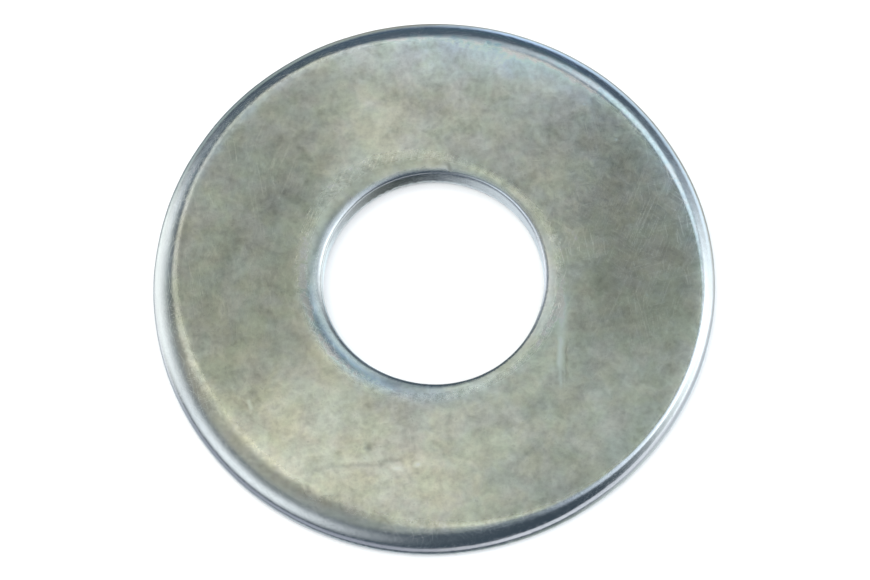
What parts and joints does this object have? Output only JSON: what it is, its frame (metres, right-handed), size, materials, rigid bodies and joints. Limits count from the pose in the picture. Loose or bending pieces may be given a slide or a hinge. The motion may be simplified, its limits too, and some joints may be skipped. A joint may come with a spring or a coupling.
{
  "type": "flat washer",
  "caption": "Plain round flat washer, punched from steel strip and zinc plated, with rolled-over front edges and a clearance bore; spreads the load under a screw head or nut.",
  "frame": {"origin": "on the bore's axis, in the plane of the flat back face that the washer lies on", "axes": "+Z along the bore's axis, from the back face to the rolled-edge front face; the ring is round, so X and Y are any two directions across it"},
  "size_m": [0.022, 0.022, 0.0015],
  "materials": {
    "zinc_plate": "zinc plated and tumbled, satin, with faint mottling and fine scratches"
  },
  "bodies": {
    "root": {"washer": "zinc_plate"}
  },
  "joints": []
}
